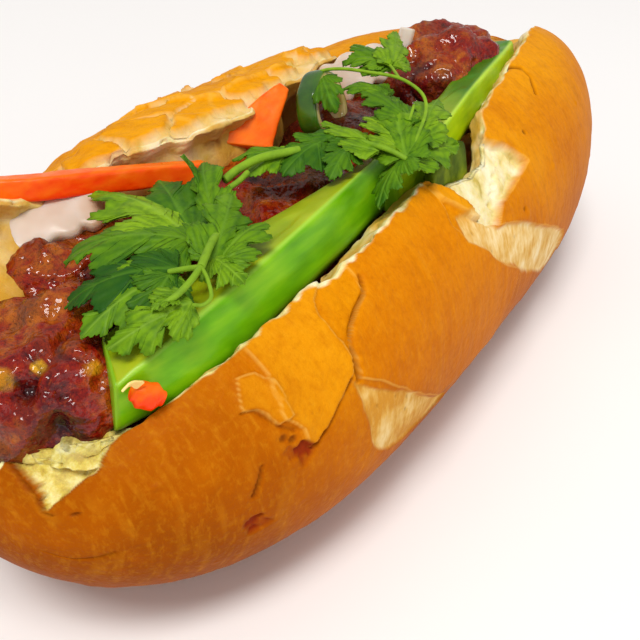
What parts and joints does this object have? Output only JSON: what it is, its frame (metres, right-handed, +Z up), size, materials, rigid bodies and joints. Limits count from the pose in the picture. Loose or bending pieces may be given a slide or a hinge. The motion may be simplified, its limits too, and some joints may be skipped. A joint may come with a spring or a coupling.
{
  "type": "banh mi sandwich",
  "caption": "Split crusty banh mi roll, open along the top and filled with grilled minced-pork patties, cucumber, carrot, pickled daikon, green chilli and coriander",
  "frame": {"origin": "middle of the part's footprint, on the surface it lies on", "axes": "+X along the roll, +Y towards the back half of the split roll, +Z up"},
  "size_m": [0.228, 0.0975, 0.0774],
  "materials": {
    "crust": "golden baked crust, thin and slightly glossy, torn open to pale soft crumb at the lips",
    "pork": "grilled minced pork, red-brown with charred edges, wet and glossy",
    "cucumber": "wet cut cucumber flesh, bright green",
    "cucumber_peel": "dark green cucumber peel",
    "carrot": "wet raw carrot, bright orange",
    "daikon": "pickled daikon, wet and slightly translucent",
    "chilli": "glossy green chilli skin",
    "leaf": "fresh coriander leaves and stems"
  },
  "bodies": {
    "root": {"bread": "crust", "pork_patty_near": "pork", "pork_patty_back": "pork", "pork_patty_middle": "pork", "pork_patty_far_middle": "pork", "pork_patty_far": "pork", "cucumber_spear": "cucumber", "cucumber_strip": "cucumber", "cucumber_slice": "cucumber_peel", "carrot_stick": "carrot", "carrot_wedge": "carrot", "carrot_bit": "carrot", "daikon_slab": "daikon", "daikon_slice": "daikon", "daikon_strip": "daikon", "chilli_ring": "chilli", "coriander_sprig_near": "leaf", "coriander_sprig_far": "leaf"}
  },
  "joints": []
}
